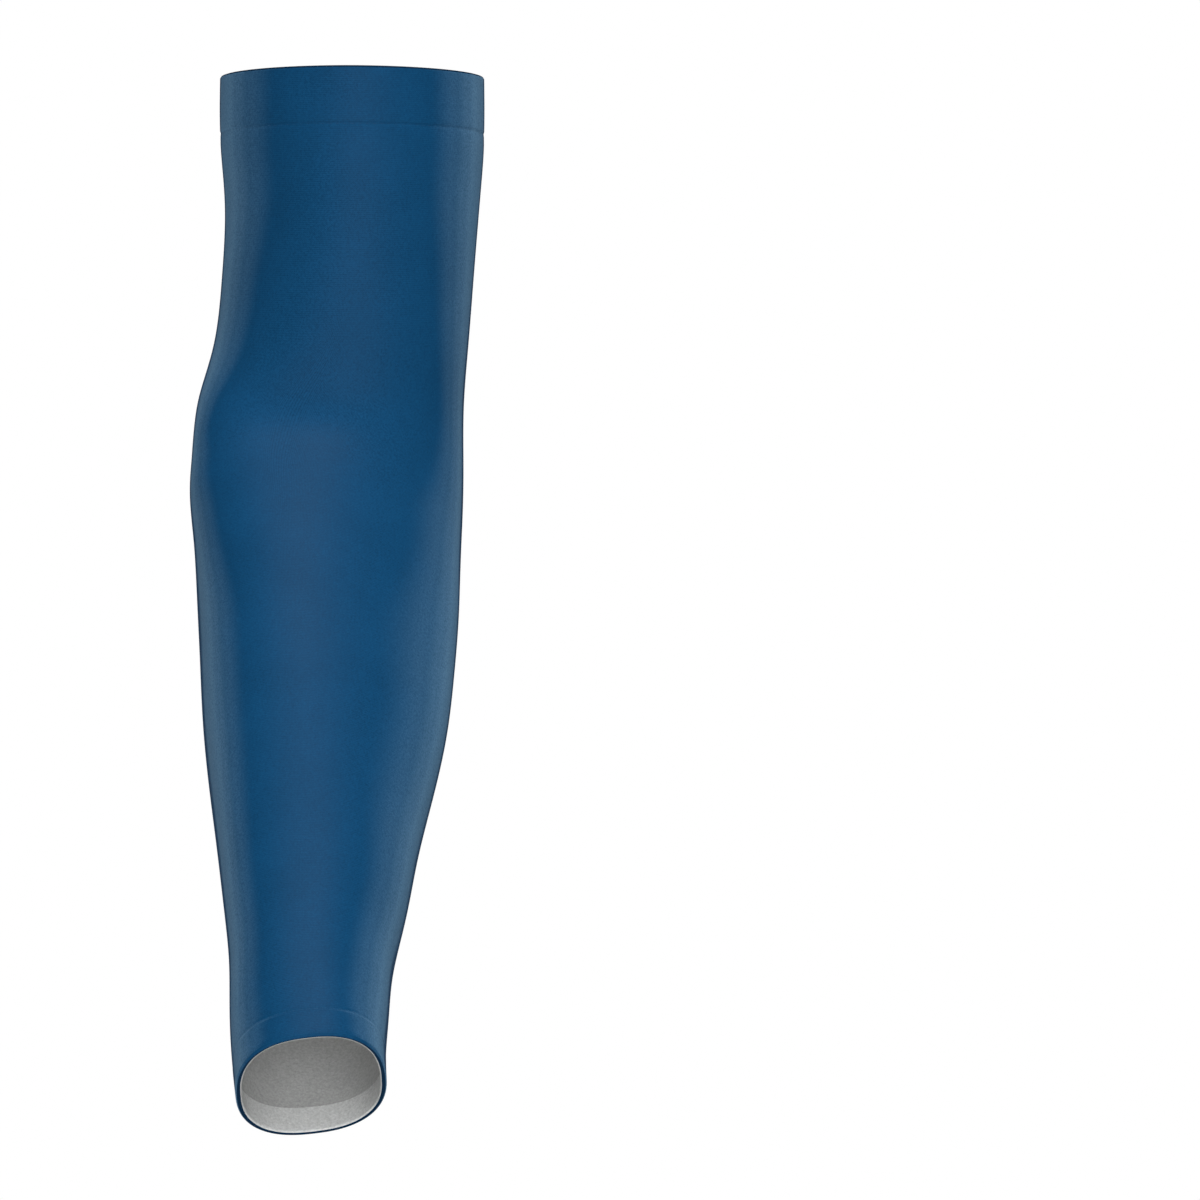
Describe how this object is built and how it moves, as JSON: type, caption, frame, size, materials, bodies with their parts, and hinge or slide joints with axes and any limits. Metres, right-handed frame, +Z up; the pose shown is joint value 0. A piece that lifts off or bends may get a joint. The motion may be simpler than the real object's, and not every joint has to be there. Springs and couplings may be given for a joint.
{
  "type": "arm sleeve",
  "caption": "Fine knit arm sleeve in its worn form: a tapered tube bent at the elbow, with a wide upper hem and a narrow wrist hem, that covers and compresses an arm.",
  "frame": {"origin": "middle of the upper rim, where the upper arm goes in and holds the sleeve up", "axes": "+Z up along the upper arm and out of the upper rim, -Y the front of the arm, to which the forearm bends, +X the inner side of the arm"},
  "size_m": [0.1006, 0.2354, 0.3567],
  "materials": {
    "blue_knit": "matte fine knit with a soft sheen, dark blue outside and pale grey inside"
  },
  "bodies": {
    "root": {"sleeve_body": "blue_knit", "upper_hem": "blue_knit", "wrist_hem": "blue_knit"}
  },
  "joints": []
}
